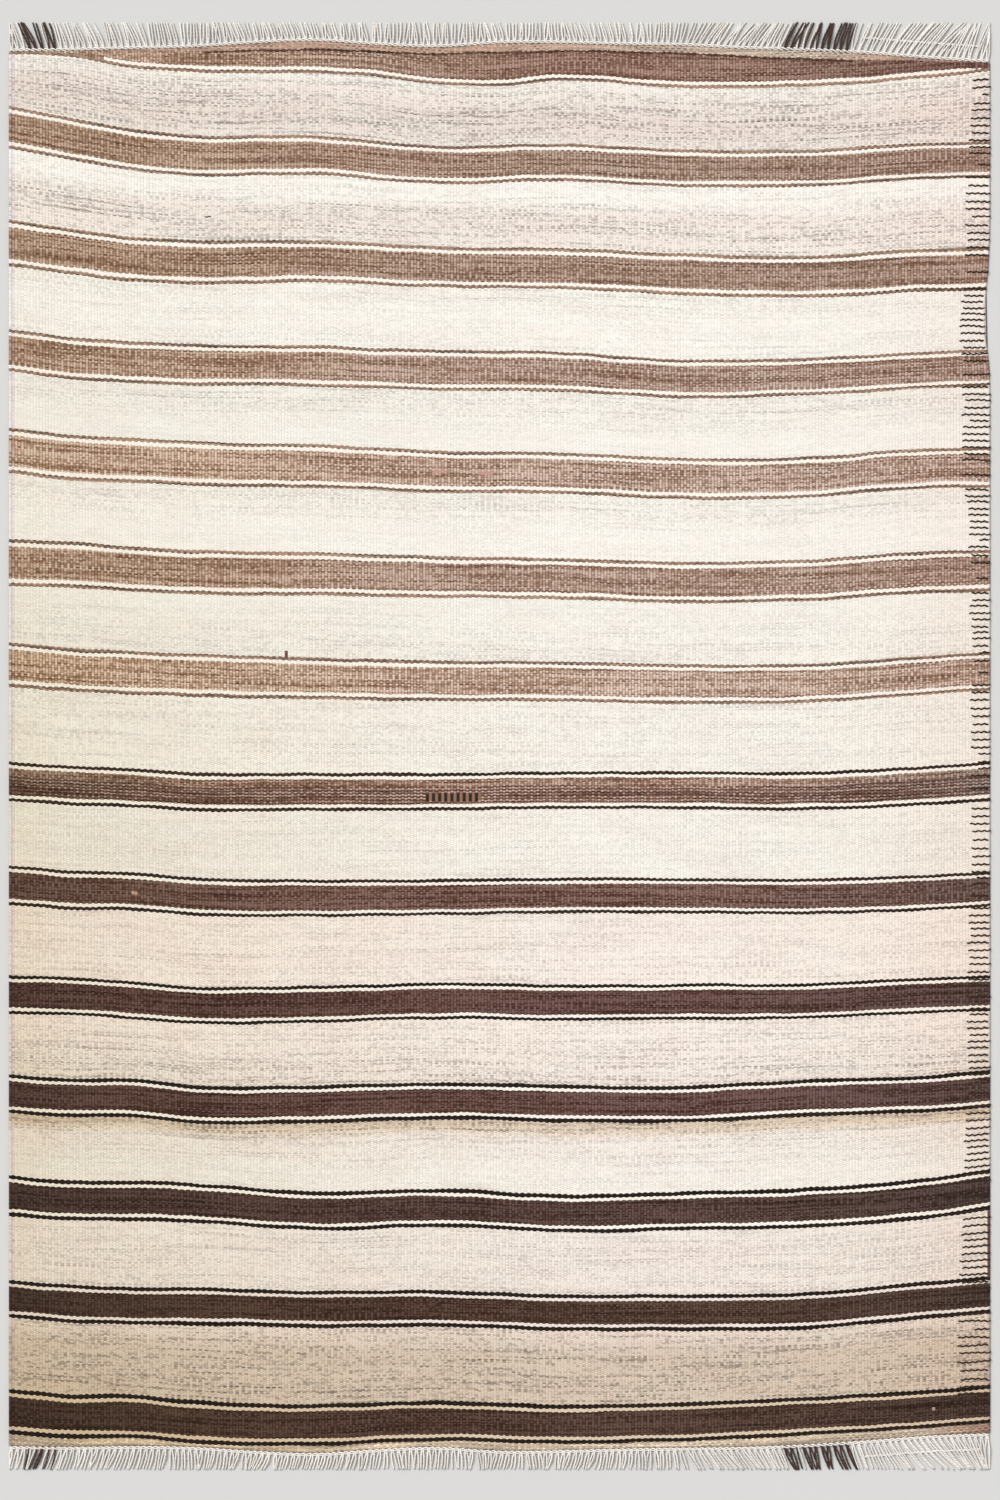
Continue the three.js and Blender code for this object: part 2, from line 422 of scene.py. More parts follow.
class Yarns:
    """Many yarns gathered into one mesh, each a closed tube along its path.

    A tone of 1 or more is the darker wool, and its fraction darkens the yarn. The lobes are
    the two plies, which turn along the yarn.
    """

    def __init__(self):
        self.vertices = []
        self.faces = []
        self.looks = []
        self.count = 0

    def add(self, path, radius, tone, sides=8, lobe=0.0):
        path = np.asarray(path, float)
        along = np.gradient(path, axis=0)
        along /= np.linalg.norm(along, axis=1)[:, None]
        aside = np.cross(along, (0, 0, 1))
        aside /= np.linalg.norm(aside, axis=1)[:, None]
        lift = np.cross(aside, along)
        run = np.concatenate([[0], np.cumsum(np.linalg.norm(np.diff(path, axis=0), axis=1))])
        turn = run / PLY_PITCH * 2 * math.pi
        angle = np.linspace(0, 2 * math.pi, sides, endpoint=False)
        reach = np.broadcast_to(radius, len(path))[:, None] * (
            1 + lobe * np.cos(2 * (angle[None, :] - turn[:, None]))
        )
        ring = (
            path[:, None, :]
            + (reach * np.cos(angle))[:, :, None] * aside[:, None, :]
            + (reach * np.sin(angle))[:, :, None] * lift[:, None, :]
        )
        first = self.count
        for i in range(len(path) - 1):
            for j in range(sides):
                a = first + i * sides + j
                b = first + i * sides + (j + 1) % sides
                self.faces.append((a, b, b + sides, a + sides))
        last = first + (len(path) - 1) * sides
        self.faces.append(tuple(range(first + sides - 1, first - 1, -1)))
        self.faces.append(tuple(range(last, last + sides)))
        self.vertices.append(ring.reshape(-1, 3))
        looks = np.empty((len(path), sides, 3))
        looks[:, :, 0] = tone
        looks[:, :, 1] = run[:, None]
        looks[:, :, 2] = (angle[None, :] - turn[:, None]) / (2 * math.pi)
        self.looks.append(looks.reshape(-1, 3))
        self.count += len(path) * sides

    def build(self, name):
        made = make_object(name, np.concatenate(self.vertices), self.faces)
        add_vector_attribute(made, "yarn", np.concatenate(self.looks))
        return made


# The fringe: each pair of warps leaves the cloth's end through a row of twined weft, the lock.
PAIRS = WARPS // 2
PAIR_PITCH = WIDTH / PAIRS
LOCK_GAP = 0.3
LOCK_DEPTH = 4.0
LOCK_SAMPLES = 245
ROOT_IN_LOCK = 0.8

# A strand: its yarn, and the height of its axis along the floor and at its root.
STRAND_RADIUS = 1.12
STRAND_UNEVEN = (0.88, 1.08)
STRAND_TAPER = 0.12
PLY_DEPTH = 0.16
PLY_PITCH = 9.0
STRAND_REST = 1.35
ROOT_REST = 1.9
STRAND_STEP = 2.1
FEWEST_POINTS = 8

# How far the strands differ in lean, trim, height, spacing, wander and shade, and over which
# shares of their length two of a pair part and come down to the floor.
PAIR_LEAN = 0.07
STRAND_LEAN = 0.035
LEAN_BEND = 1.25
TRIM_UNEVEN = 1.6
LIFT_UNEVEN = 0.5
TWIN_LIFT = 1.1
TWIN_SPACING = 0.95
TWINS_PART = (0.1, 0.45)
ROOT_SETTLES = (0.05, 0.3)
WANDER = 0.5
WANDER_TURNS = (0.5, 1.1)
STRAND_SHADE = 0.35

# Rows of twined weft: the swing of two yarns round each other, and their radius. A second,
# short row crosses each fringe at the right, farther out.
LOCK_TWINE = (1.25, 0.95)
LOCK_INSET = 2
SECOND_TWINE = (0.8, 0.75)
SECOND_ROW = (452, 600)
SECOND_ROW_OUT = 16.0
TWINE_STEPS = 7
TWINE_HEIGHT = 1.95
TWINE_FLATNESS = 0.75
TWINE_PLY_DEPTH = 0.1
TWINE_SHADE = 0.05


def brown_share(x):
    for low, high, share in BROWN_WARPS:
        if low <= x <= high:
            return share
    return 0.0


def build_fringe(name, edge, side, chance):
    """The warp ends past the cloth, in pairs, with the twined weft that locks them."""
    yarns = Yarns()
    places = np.linspace(-HALF_WIDTH, HALF_WIDTH, LOCK_SAMPLES)
    root_line = edge(places) + side * (LOCK_GAP + LOCK_DEPTH)
    limit = HALF_WIDTH - STRAND_RADIUS
    for pair in range(PAIRS):
        root_x = (pair + 0.5) * PAIR_PITCH - HALF_WIDTH
        root_y = np.interp(root_x, places, root_line)
        pair_lean = table_curve(LEAN, root_x) + chance.normal(0, PAIR_LEAN)
        pair_lift = chance.uniform(0, LIFT_UNEVEN)
        for twin in (-1, 1):
            tip_y = side * (FRINGE_TRIM - chance.uniform(0, TRIM_UNEVEN))
            start_y = root_y - side * LOCK_DEPTH * ROOT_IN_LOCK
            length = abs(tip_y - start_y)
            t = np.linspace(0, 1, max(FEWEST_POINTS, int(length / STRAND_STEP)))
            lean = pair_lean + chance.normal(0, STRAND_LEAN)
            apart = twin * (TWIN_SPACING + TWIN_SPACING * smoothstep(t, *TWINS_PART))
            phase = chance.uniform(0, 2 * math.pi)
            turns = chance.uniform(*WANDER_TURNS)
            wander = WANDER * t * np.sin(2 * math.pi * t * turns + phase)
            x = root_x + apart + lean * length * t**LEAN_BEND + wander
            x = np.clip(x, -limit, limit)
            y = start_y + (tip_y - start_y) * t
            lift = pair_lift + (twin + 1) / 2 * TWIN_LIFT + chance.uniform(0, LIFT_UNEVEN)
            rest = STRAND_REST + lift * np.sin(math.pi * np.clip(t * 1.05, 0, 1)) ** 1.5
            z = rest + (ROOT_REST - STRAND_REST) * (1 - smoothstep(t, *ROOT_SETTLES))
            is_brown = chance.random() < brown_share(root_x)
            tone = (1.0 if is_brown else 0.0) + chance.uniform(0, STRAND_SHADE)
            taper = 1 - STRAND_TAPER * t**4
            radius = STRAND_RADIUS * chance.uniform(*STRAND_UNEVEN) * taper
            yarns.add(np.stack([x, y, z], 1), radius, tone, lobe=PLY_DEPTH)
    lock_line = root_line - side * LOCK_DEPTH / 2
    lock_ends = (LOCK_INSET - HALF_WIDTH, HALF_WIDTH - LOCK_INSET)
    twine(yarns, places, lock_line, *LOCK_TWINE, lock_ends)
    twine(yarns, places, root_line + side * SECOND_ROW_OUT, *SECOND_TWINE, SECOND_ROW)
    return yarns.build(name)


def twine(yarns, places, line, swing, radius, ends):
    """Two yarns that twist round each other from one pair of warps to the next."""
    x = np.arange(ends[0], ends[1], PAIR_PITCH / TWINE_STEPS)
    turn = math.pi * x / PAIR_PITCH
    base = np.interp(x, places, line)
    for offset in (0, math.pi):
        y = base + swing * np.cos(turn + offset)
        z = TWINE_HEIGHT + (swing * TWINE_FLATNESS) * np.sin(turn + offset)
        path = np.stack([x, y, z], 1)
        yarns.add(path, radius, TWINE_SHADE, sides=6, lobe=TWINE_PLY_DEPTH)


def build_carried_wefts(chance):
    """The idle brown weft, caught into the right selvedge from stripe to stripe."""
    yarns = Yarns()
    pick = CARRIED_FIRST
    while pick < LAST_STRIPE + OUTLINE:
        edge_y = float(Wefts(np.array([HALF_WIDTH])).y_at(pick)[0])
        reach = table_curve(CARRIED_REACH, edge_y) + chance.uniform(*CARRIED_UNEVEN)
        if chance.random() < CARRIED_SHORT:
            reach *= chance.uniform(*CARRIED_SHORTENED)
        x = np.arange(HALF_WIDTH - reach, HALF_WIDTH + 0.1, WARP_PITCH / 2)
        run = x - x[0]
        turn = math.pi * (x + HALF_WIDTH) / WARP_PITCH
        y = Wefts(x).y_at(pick) + CARRIED_SWAY * np.cos(turn)
        y += chance.uniform(*CARRIED_BOW) * np.sin(run / CARRIED_BOW_RUN) - CARRIED_SLOPE * run
        top = lie(x, y) + cloth_thickness(x, np.full_like(x, FAR_FROM_END))
        z = top - CARRIED_SUNK + CARRIED_RISE * np.abs(np.sin(turn))
        z[0] -= CARRIED_START_SUNK
        z[-1] = CARRIED_END_HEIGHT
        z[-2] = top[-2] - CARRIED_EDGE_SUNK
        across = x - drawn_in(x, y)
        tone = 1.0 + chance.uniform(0, CARRIED_SHADE)
        yarns.add(np.stack([across, y, z], 1), CARRIED_RADIUS, tone, sides=6)
        from_stripe = abs((pick + REPEAT / 2) % REPEAT - REPEAT / 2)
        spacing = CARRIED_ON_STRIPE if from_stripe < FILL_END else 1
        pick += chance.uniform(*CARRIED_STEPS) * spacing
    return yarns.build("carried_wefts")


class Graph:
    """The node graph of one material. Each call adds a node and gives its output."""

    def __init__(self, name):
        self.material = bpy.data.materials.new(name)
        self.material.use_nodes = True
        self.nodes = self.material.node_tree.nodes
        self.links = self.material.node_tree.links
        self.nodes.clear()

    def feed(self, socket, value):
        if isinstance(value, bpy.types.NodeSocket):
            self.links.new(value, socket)
        elif socket.type == "VECTOR":
            socket.default_value = value[:3]
        else:
            socket.default_value = value

    def math(self, operation, *values):
        node = self.nodes.new("ShaderNodeMath")
        node.operation = operation
        for socket, value in zip(node.inputs, values):
            self.feed(socket, value)
        return node.outputs[0]

    def add(self, a, b):
        return self.math("ADD", a, b)

    def subtract(self, a, b):
        return self.math("SUBTRACT", a, b)

    def times(self, a, b):
        return self.math("MULTIPLY", a, b)

    def line(self, value, start, gain):
        """The start, plus the value times the gain."""
        return self.add(start, self.times(value, gain))

    def above(self, value, limit):
        return self.math("GREATER_THAN", value, limit)

    def below(self, value, limit):
        return self.math("LESS_THAN", value, limit)

    def inside(self, value, low, high):
        return self.times(self.above(value, low), self.below(value, high))

    def soft(self, value, low, high):
        """From 0 at low to 1 at high, smoothly."""
        node = self.nodes.new("ShaderNodeMapRange")
        node.interpolation_type = "SMOOTHSTEP"
        self.feed(node.inputs["Value"], value)
        node.inputs["From Min"].default_value = low
        node.inputs["From Max"].default_value = high
        return node.outputs["Result"]

    def vector(self, x, y, z=0.0):
        node = self.nodes.new("ShaderNodeCombineXYZ")
        for socket, value in zip(node.inputs, (x, y, z)):
            self.feed(socket, value)
        return node.outputs[0]

    def attribute(self, name):
        node = self.nodes.new("ShaderNodeAttribute")
        node.attribute_name = name
        parts = self.nodes.new("ShaderNodeSeparateXYZ")
        self.links.new(node.outputs["Vector"], parts.inputs[0])
        return parts.outputs

    def noise(self, vector, scale=1.0, detail=2.0, roughness=0.5):
        node = self.nodes.new("ShaderNodeTexNoise")
        self.feed(node.inputs["Vector"], vector)
        node.inputs["Scale"].default_value = scale
        node.inputs["Detail"].default_value = detail
        node.inputs["Roughness"].default_value = roughness
        return node.outputs["Fac"]

    def grain(self, warp, place, scales, detail=2.0):
        """Noise over the weave, with one scale for the warps and one for the picks."""
        scaled = self.vector(self.times(warp, scales[0]), self.times(place, scales[1]))
        return self.noise(scaled, detail=detail)

    def spread(self, value, width):
        """A value about a half as one about 0, with the given width."""
        return self.times(self.subtract(value, 0.5), width)

    def chance(self, x, y):
        """An even random value for each whole x and y."""
        node = self.nodes.new("ShaderNodeTexWhiteNoise")
        node.noise_dimensions = "2D"
        self.feed(node.inputs["Vector"], self.vector(x, y))
        return node.outputs["Value"]

    def ramp(self, value, stops, interpolation="LINEAR"):
        node = self.nodes.new("ShaderNodeValToRGB")
        node.color_ramp.interpolation = interpolation
        elements = node.color_ramp.elements
        elements[0].position, elements[0].color = stops[0]
        elements[1].position, elements[1].color = stops[-1]
        for position, colour in stops[1:-1]:
            elements.new(position).color = colour
        self.feed(node.inputs["Fac"], value)
        return node.outputs["Color"]

    def mix(self, share, a, b, blend="MIX"):
        node = self.nodes.new("ShaderNodeMix")
        node.data_type = "RGBA"
        node.blend_type = blend
        self.feed(node.inputs[0], share)
        self.feed(node.inputs[6], a)
        self.feed(node.inputs[7], b)
        return node.outputs[2]

    def tint(self, share, colour, tint):
        """The colour multiplied by the tint, over a share of it."""
        return self.mix(share, colour, self.mix(1.0, colour, tint, "MULTIPLY"))

    def scale(self, colour, factor):
        """The colour with each channel multiplied by the factor."""
        node = self.nodes.new("ShaderNodeVectorMath")
        node.operation = "SCALE"
        self.feed(node.inputs[0], colour)
        self.feed(node.inputs["Scale"], factor)
        return node.outputs[0]

    def finish(self, colour, height, depth, roughness=WOOL_ROUGHNESS, sheen=WOOL_SHEEN):
        bump = self.nodes.new("ShaderNodeBump")
        bump.inputs["Distance"].default_value = depth * MM
        self.feed(bump.inputs["Height"], height)
        shader = self.nodes.new("ShaderNodeBsdfPrincipled")
        self.feed(shader.inputs["Base Color"], colour)
        shader.inputs["Roughness"].default_value = roughness
        shader.inputs["Specular IOR Level"].default_value = SPECULAR
        shader.inputs["Sheen Weight"].default_value = sheen
        shader.inputs["Sheen Roughness"].default_value = SHEEN_ROUGHNESS
        self.links.new(bump.outputs[0], shader.inputs["Normal"])
        output = self.nodes.new("ShaderNodeOutputMaterial")
        self.links.new(shader.outputs[0], output.inputs["Surface"])
        return self.material


# Ground wool from the head to the foot: (pick, wool, share of dark flecks).
GROUND = (
    (26, CREAM, 0.5),
    (45, OAT, 0.8),
    (65, BISCUIT, 1.0),
    (90, BISCUIT, 1.0),
    (104, OAT, 0.6),
    (156, PEARL, 0.2),
    (175, PEARL, 0.25),
    (193, OAT, 0.75),
    (220, OAT, 0.8),
    (290, BONE, 0.25),
    (325, PEARL, 0.1),
    (433, CREAM, 0.4),
    (455, BONE, 0.15),
    (478, PEARL, 0.0),
    (563, CREAM, 0.35),
    (590, PEARL, 0.05),
    (693, BONE, 0.1),
    (738, CREAM, 0.3),
    (868, CREAM, 0.2),
    (998, CREAM, 0.15),
    (1083, SHELL, 0.25),
    (1128, SHELL, 0.3),
    (1213, SHELL, 0.4),
    (1262, OAT, 0.75),
    (1326, BEIGE, 1.0),
    (1334, STRAW, 1.0),
    (1343, OAT, 0.4),
    (1388, CREAM, 0.1),
    (1480, OAT, 0.4),
    (1518, OAT, 0.35),
    (1586, SAND, 0.8),
    (1612, BEIGE, 1.0),
)

# Wools of the stripes, from the head down.
FILL = (
    RUSSET, CLAY, CLAY, CAMEL, FAWN, CAMEL, OCHRE, TAWNY,
    WALNUT, UMBER, UMBER, COFFEE, SABLE, SABLE,
)
FIRST_FILL = (
    (0.0, BEIGE), (0.05, BEIGE), (0.08, CAMEL), (0.14, FAWN), (0.17, CLAY), (0.21, CLAY),
    (0.3, CAMEL), (0.4, CLAY), (0.5, RUSSET), (0.75, RUSSET), (1.0, WALNUT),
)

# The stripes' wools change a little across the rug: (share of the width, tint).
LIGHT_TINT = (
    (0.0, (1.0, 0.98, 0.88, 1.0)),
    (0.2, (1.05, 1.05, 0.97, 1.0)),
    (0.4, (1.0, 1.0, 0.98, 1.0)),
    (1.0, (0.97, 0.99, 1.0, 1.0)),
)
DARK_TINT = (
    (0.0, (0.68, 0.70, 0.66, 1.0)),
    (0.14, (0.88, 0.90, 0.86, 1.0)),
    (0.27, (0.97, 0.97, 0.95, 1.0)),
    (0.5, (1.08, 1.07, 1.06, 1.0)),
    (0.75, (1.08, 1.10, 1.12, 1.0)),
    (0.9, (0.93, 1.0, 1.04, 1.0)),
    (1.0, (0.8, 0.94, 1.0, 1.0)),
)

# Wools of the thin outer lines and of the edgings. The stripes turn dark from FIRST_DARK on,
# one has rows of two wools, and the thin lines are a pick wider from FIRST_WIDE on.
THIN = (BARK,) * 7 + (PEAT,) * 2 + (COAL,) * 5
EDGING = (SNOW,) * 12 + (SHELL, STRAW)
FIRST_DARK = 7
MIXED_STRIPE = 7
FIRST_WIDE = 10

# Paler floats of a stripe are less saturated: the gain of each channel with lightness.
FADE = (-0.2, 0.05, 0.25)

# The plain ends of the cloth: (share of the width from the left, wool).
HEAD_END = (
    (0.0, CLAY), (0.12, FAWN), (0.21, FAWN), (0.3, OCHRE),
    (0.5, OCHRE), (0.8, BEIGE), (0.9, FAWN), (1.0, CLAY),
)
FOOT_END = ((0.0, BEIGE), (0.09, STRAW), (0.8, STRAW), (0.93, BEIGE), (1.0, FAWN))

# Round the first stripe's upper line, in picks below it: where the head's plain end stops,
# how far a dark line runs on, and where the ivory edging may begin. The dark line and the
# edging are there on some warps only.
HEADING_STOP = -1.5
UPPER_LINE_STOP = 1.2
UPPER_LINE_WARPS = (64.0, 275.0)
FIRST_EDGING_START = 6.5
FIRST_EDGING_WARP = 31.0

# Age has yellowed the left side and the foot: (share of the width, or of the length, amount).
AGED = (0.84, 0.80, 0.69, 1.0)
MOST_AGED = 1.6
AGE_ACROSS = (
    (0.0, 1.0), (0.06, 0.75), (0.14, 0.6), (0.26, 0.42), (0.42, 0.18),
    (0.6, 0.0), (0.8, 0.05), (0.92, 0.15), (1.0, 0.35),
)
AGE_DOWN = ((0.0, 0.05), (0.3, 0.3), (0.5, 0.62), (0.72, 0.68), (0.9, 0.62), (0.93, 1.0))

# Some patches and the right side are pinker. The outer two warps are greyer, on the left all
# along and on the right over some picks.
BLUSHED = (0.99, 0.94, 0.94, 1.0)
GREYED = (0.93, 0.91, 0.99, 1.0)
GREYED_WARPS = 2.0
GREYED_PICKS = (1635, 1775)

# Unevenness of the wool, as noise with a scale for the warps and one for the picks.
WOBBLE_GRAIN = (0.07, 0.045)
WOBBLE_PICKS = 4.5
STREAK_GRAIN = (0.022, 3.7)
DASH_GRAIN = (0.38, 5.3)
BATCH_GRAIN = (0.008, 0.27)
PATCH_GRAIN = (0.05, 0.03)
FIBRE_GRAIN = (2.0, 3.0)

# How strongly each kind shows in a yarn's shade, and how much more all do in dark stripes.
SPECK_SPREAD = 0.95
DASH_SPREAD = 1.6
STREAK_SPREAD = 4.5
BATCH_SPREAD = 0.9
GROUND_BATCH_SPREAD = 0.18
EDGING_SPREAD = 0.1
DARK_UNEVEN = 0.3

# Flecks show where a dash and a streak both rise past these limits.
FLECK_DASH = (0.47, 0.62)
FLECK_STREAK = (0.45, 0.62)

# The palest that a wool gets, as the logarithm of its shade, and how softly it gets there.
STRIPE_PALEST = (0.6, 0.5)
GROUND_PALEST = (0.2, 0.3)

# The valleys between the ribs, from a rib's middle, and the painted shade there: what it takes
# from a stripe's shade and from its paleness.
VALLEY = (0.22, 0.5)
VALLEY_PAINTED_SHADE = 0.5
VALLEY_PAINTED_FADE = 0.55

# Shade of the thin lines and of the edgings.
THIN_SHADE = 0.95
EDGING_SHADE = 1.1

# Rows of the mixed stripe: dark below the limit in each run of picks. They start about
# MIXED_START picks from its middle, with a ragged edge.
MIXED_RUN = 4.0
MIXED_LIMIT = 1.5
MIXED_START = -6.0
MIXED_SPREAD = 6.0

# Dotted rows of the plain ends: one in each run of picks, on floats picked by chance.
DOTTED_RUN = 3.0
DOTTED_LIMIT = 0.4
DOTTED_PATCH = (0.42, 0.56)
DOTTED_SHADE = 0.9
END_UNEVEN = 0.35

# Where the blush lies: in patches, at a share of its strength, and on the right side.
BLUSH_PATCH = (0.42, 0.6)
BLUSH_PATCH_SHARE = 0.5
BLUSH_RIGHT = (0.82, 0.97)

# Painted shade in the seams round each float: its soft limits, and how much darker it is.
SEAM = (0.55, 1.0)
SEAM_PAINTED_SHADE = 0.1

# Shade of a twisted yarn as (start, gain): painted shade in the groove between its plies, with
# its tone, along its fibres.
PLY_GROOVE_PAINTED_SHADE = (0.74, 0.36)
TONE_SHADE = (1.06, -0.6)
FIBRE_SHADE = (0.92, 0.16)

# Depth of the bumps that floats and plies make.
FLOAT_RELIEF = 0.35
YARN_RELIEF = 0.25

# Small marks: the warps and the picks that each covers, and its wool.
Mark = namedtuple("Mark", "warps picks wool")
MARKS = (
    Mark((64, 66), (205, 207), UMBER),
    Mark((90, 91), (748, 757), WALNUT),
    Mark((138, 143), (519, 523), ROSE),
    Mark((153, 158), (519, 523), ROSE),
    Mark((319, 320), (1457, 1536), WALNUT),
    Mark((40, 42), (1040, 1044), OCHRE),
    Mark((301, 302), (1689, 1693), OCHRE),
)

# Where the wool is worn off, so that the warps show.
WORN = Mark((136, 154), (913, 923), RUSSET)


def by_stripe(graph, stripe, wools):
    """The stripe's own wool, out of one for each stripe."""
    count = len(wools)
    stops = [(number / count, linear(wool)) for number, wool in enumerate(wools)]
    place = graph.math("DIVIDE", graph.add(stripe, 0.5), float(count))
    return graph.ramp(place, stops, "CONSTANT")


def amount_ramp(graph, share, rows):
    return graph.ramp(share, [(at, (amount, amount, amount, 1.0)) for at, amount in rows])


def wool_ramp(graph, share, rows):
    return graph.ramp(share, [(at, linear(wool)) for at, wool in rows])


class Weave:
    """What the material knows of a place in the weave, as outputs of the graph."""

    def __init__(self, graph):
        self.warp, straight_place, under_line = graph.attribute("weave")
        wobble = graph.grain(self.warp, straight_place, WOBBLE_GRAIN)
        self.place = graph.add(straight_place, graph.spread(wobble, WOBBLE_PICKS))
        self.find_float(graph)
        self.find_stripe(graph)
        self.from_line = graph.add(under_line, graph.subtract(self.pick, straight_place))
        self.find_yarn(graph)

    def find_float(self, graph):
        """The weft that shows, and where on its float the place is.

        A weft goes over every other warp. Each float narrows from two picks on the crest of
        its rib to one in the valley, where the wefts beside it pass under, so that each weft
        runs on as one wavy line.
        """
        self.column = graph.math("FLOOR", self.warp)
        from_column = graph.subtract(self.warp, self.column)
        self.across = graph.math("ABSOLUTE", graph.subtract(from_column, 0.5))
        self.parity = graph.math("FLOORED_MODULO", self.column, 2.0)
        half_place = graph.add(graph.times(graph.subtract(self.place, self.parity), 0.5), 0.5)
        self.own = graph.add(self.parity, graph.times(graph.math("FLOOR", half_place), 2.0))
        off = graph.subtract(self.place, self.own)
        reach = graph.subtract(1.0, graph.times(graph.times(self.across, self.across), 2.0))
        share = graph.math("DIVIDE", graph.math("ABSOLUTE", off), reach)
        self.along = graph.math("MINIMUM", share, 1.0)
        passing = graph.times(graph.math("SIGN", off), graph.above(self.along, 0.999))
        self.pick = graph.add(self.own, passing)

    def find_stripe(self, graph):
        """The nearest stripe, and the distance from its middle in picks.

        The first stripe has no upper half: it runs up to the head's plain end.
        """
        repeats = graph.math("DIVIDE", self.pick, float(REPEAT))
        self.stripe = graph.math("FLOOR", graph.add(repeats, 0.5))
        self.is_first = graph.below(self.stripe, 0.5)
        self.is_later = graph.above(self.stripe, 0.5)
        self.is_dark = graph.above(self.stripe, FIRST_DARK - 0.5)
        self.from_middle = graph.subtract(self.pick, graph.times(self.stripe, float(REPEAT)))
        mirrored = graph.times(graph.times(self.from_middle, -1.0), self.is_later)
        self.distance = graph.math("MAXIMUM", self.from_middle, mirrored)

    def find_yarn(self, graph):
        """Uneven yarn: long and short streaks along a weft, single floats, batches, patches."""
        self.streak = graph.grain(self.warp, self.pick, STREAK_GRAIN, detail=1.0)
        self.dash = graph.grain(self.warp, self.pick, DASH_GRAIN, detail=1.0)
        self.speck = graph.chance(self.column, self.own)
        self.batch = graph.grain(self.warp, self.place, BATCH_GRAIN)
        self.patch = graph.grain(self.warp, self.place, PATCH_GRAIN, detail=3.0)
        self.across_share = graph.math("DIVIDE", self.warp, float(WARPS))
        self.down_share = graph.math("DIVIDE", self.pick, float(STRIPES_IN_ALL * REPEAT))
        self.valley = graph.soft(self.across, *VALLEY)
        dashes = graph.spread(self.dash, DASH_SPREAD)
        longer = graph.add(dashes, graph.spread(self.streak, STREAK_SPREAD))
        self.yarn = graph.add(graph.spread(self.speck, SPECK_SPREAD), longer)
        uneven = graph.times(self.yarn, graph.line(self.is_dark, 1.0, DARK_UNEVEN))
        self.uneven = graph.add(uneven, graph.spread(self.batch, BATCH_SPREAD))
        self.lightness = graph.math("SMOOTH_MIN", graph.add(self.uneven, 0.15), *STRIPE_PALEST)
        self.yarn_shade = graph.math("EXPONENT", self.lightness)


def ground_colour(graph, weave):
    """The ground, with short dark flecks of grey wool."""
    length = STRIPES_IN_ALL * REPEAT
    wools = [(pick / length, wool) for pick, wool, _ in GROUND]
    amounts = [(pick / length, amount) for pick, _, amount in GROUND]
    flecks = amount_ramp(graph, weave.down_share, amounts)
    fleck = graph.times(
        graph.soft(weave.dash, *FLECK_DASH), graph.soft(weave.streak, *FLECK_STREAK)
    )
    fleck = graph.times(fleck, graph.line(flecks, 0.2, 0.6))
    # Painted shade in the valleys between the ribs, stronger where the ground is flecked.
    rib = graph.times(weave.valley, graph.times(flecks, 0.1))
    uneven = graph.times(weave.yarn, graph.line(flecks, 0.1, 0.8))
    uneven = graph.add(uneven, graph.spread(weave.batch, GROUND_BATCH_SPREAD))
    shade = graph.subtract(uneven, graph.add(fleck, rib))
    shade = graph.add(shade, graph.line(flecks, 0.17, 0.1))
    shade = graph.math("SMOOTH_MIN", shade, *GROUND_PALEST)
    ground = wool_ramp(graph, weave.down_share, wools)
    return graph.scale(ground, graph.math("EXPONENT", shade))


def stripe_colour(graph, weave):
    """The brown stripes: uneven handspun floats, with shade painted into the valleys between
    ribs.
    """
    fill = by_stripe(graph, weave.stripe, FILL)
    first_fill = wool_ramp(graph, weave.across_share, FIRST_FILL)
    fill = graph.mix(weave.is_first, fill, first_fill)
    mixed_place = graph.add(weave.from_middle, graph.spread(weave.streak, MIXED_SPREAD))
    is_mixed = graph.times(
        graph.inside(weave.stripe, MIXED_STRIPE - 0.5, MIXED_STRIPE + 0.5),
        graph.above(mixed_place, MIXED_START),
    )
    in_run = graph.math("FLOORED_MODULO", weave.pick, MIXED_RUN)
    is_dark_row = graph.below(in_run, MIXED_LIMIT)
    fill = graph.mix(graph.times(is_mixed, is_dark_row), fill, linear(UMBER))
    light_tint = graph.ramp(weave.across_share, LIGHT_TINT)
    dark_tint = graph.ramp(weave.across_share, DARK_TINT)
    fill = graph.mix(1.0, fill, graph.mix(weave.is_dark, light_tint, dark_tint), "MULTIPLY")
    # Painted shade in the valleys between the ribs: darker there, and less pale.
    painted_rib_shade = graph.line(weave.valley, 1.0, -VALLEY_PAINTED_SHADE)
    fill = graph.scale(fill, graph.times(weave.yarn_shade, painted_rib_shade))
    painted_fade_in_valley = graph.times(weave.valley, VALLEY_PAINTED_FADE)
    paleness = graph.subtract(graph.add(weave.lightness, 0.1), painted_fade_in_valley)
    fade = [graph.math("EXPONENT", graph.times(paleness, gain)) for gain in FADE]
    return graph.mix(1.0, fill, graph.vector(*fade), "MULTIPLY")


def lay_stripes(graph, weave, colour):
    """The stripes over the ground, each with its ivory edging and its thin outer line."""
    is_wide = graph.above(weave.stripe, FIRST_WIDE - 0.5)
    is_thin = graph.inside(weave.distance, EDGING_END, graph.add(is_wide, THIN_END))
    is_fill = graph.below(weave.distance, EDGING_END)
    is_clear = graph.times(
        graph.above(weave.from_line, FIRST_EDGING_START),
        graph.above(weave.warp, FIRST_EDGING_WARP),
    )
    is_clear = graph.math("MAXIMUM", weave.is_later, is_clear)
    is_edging = graph.times(graph.inside(weave.distance, FILL_END, EDGING_END), is_clear)
    thin_shade = graph.times(weave.yarn_shade, THIN_SHADE)
    thin = graph.scale(by_stripe(graph, weave.stripe, THIN), thin_shade)
    edging_shade = graph.add(EDGING_SHADE, graph.spread(weave.speck, EDGING_SPREAD))
    edging = graph.scale(by_stripe(graph, weave.stripe, EDGING), edging_shade)
    colour = graph.mix(is_thin, colour, thin)
    colour = graph.mix(is_fill, colour, stripe_colour(graph, weave))
    return graph.mix(is_edging, colour, edging)


